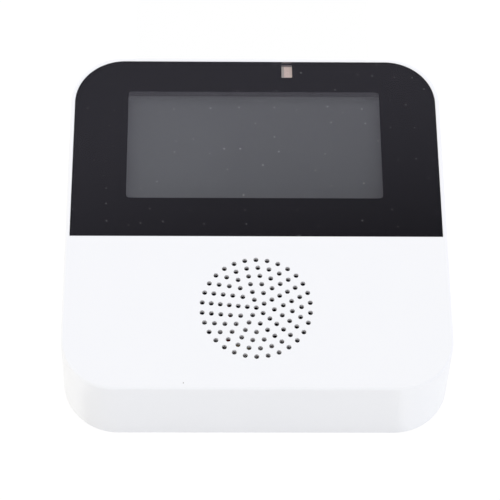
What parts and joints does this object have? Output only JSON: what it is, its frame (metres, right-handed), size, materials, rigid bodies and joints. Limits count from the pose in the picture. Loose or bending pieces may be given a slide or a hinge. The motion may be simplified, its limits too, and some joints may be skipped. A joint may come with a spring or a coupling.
{
  "type": "digital thermo-hygrometer",
  "caption": "Square white room thermo-hygrometer with a black glass-look display panel, a round perforated grille, a sliding battery door and a pairing button.",
  "frame": {"origin": "centre of the flat back, where the thing rests when it lies face up", "axes": "+Z out of the display face, +Y towards the display's top edge, +X to the display's right"},
  "size_m": [0.0872, 0.0872, 0.022],
  "materials": {
    "white_shell": "fine satin texture",
    "clear_lens": "polished acrylic",
    "black_print": "gloss screen print",
    "black_tape": "adhesive tape",
    "black_foam": "soft foam",
    "display_film": "satin grey film",
    "display_glass": "clear glass",
    "clear_guide": "clear acrylic",
    "white_sheet": "white film",
    "strip_rubber": "soft silicone",
    "led_resin": "tinted resin",
    "sensor_resin": "clear resin",
    "black_moulding": "moulded",
    "board_laminate": "dark varnish over the tracks",
    "tinned_steel": "tinned sheet",
    "can_aluminium": "satin",
    "disc_brass": "satin",
    "red_insulation": "wire insulation",
    "cell_jacket": "printed sleeve without words",
    "contact_metal": "nickel plated spring strip",
    "screw_steel": "zinc plated"
  },
  "bodies": {
    "housing": {"air_sensor": "black_moulding", "back_plate": "white_shell", "backlight_leds": "led_resin", "battery_cell_1": "cell_jacket", "battery_cell_2": "cell_jacket", "battery_cell_3": "cell_jacket", "battery_tray": "black_moulding", "board_screws": "screw_steel", "buzzer_case": "black_moulding", "buzzer_disc": "disc_brass", "capacitor": "can_aluminium", "case_screws": "screw_steel", "chamber_foam": "black_foam", "chamber_wire": "red_insulation", "contact_end_left": "contact_metal", "contact_end_right": "contact_metal", "contact_link_left": "contact_metal", "contact_link_right": "contact_metal", "contact_strips": "strip_rubber", "display_gasket": "black_foam", "display_glass": "display_glass", "display_holder": "black_moulding", "display_lens": "clear_lens", "display_reflector": "white_sheet", "front_cover": "white_shell", "front_polariser": "display_film", "lens_mask": "black_print", "lens_tape": "black_tape", "light_guide": "clear_guide", "light_pipe": "clear_guide", "light_sensor": "sensor_resin", "main_board": "board_laminate", "main_chip": "black_moulding", "radio_board": "board_laminate", "radio_chip": "black_moulding", "radio_shield": "tinned_steel", "rear_polariser": "display_film", "status_led": "led_resin", "switch_case": "black_moulding", "switch_dome": "contact_metal"},
    "door": {"battery_door": "white_shell"},
    "button": {"pairing_button": "white_shell", "switch_plunger": "black_moulding"}
  },
  "joints": [
    {"name": "battery_door_slide", "type": "slide", "parent": "housing", "child": "door", "axis": [0, 1, 0], "range_m": [0, 0.032]},
    {"name": "pairing_button_press", "type": "slide", "parent": "housing", "child": "button", "axis": [0, 0, 1], "range_m": [0, 0.0003], "stiffness_N_per_m": 500, "springref_m": -0.0003}
  ]
}
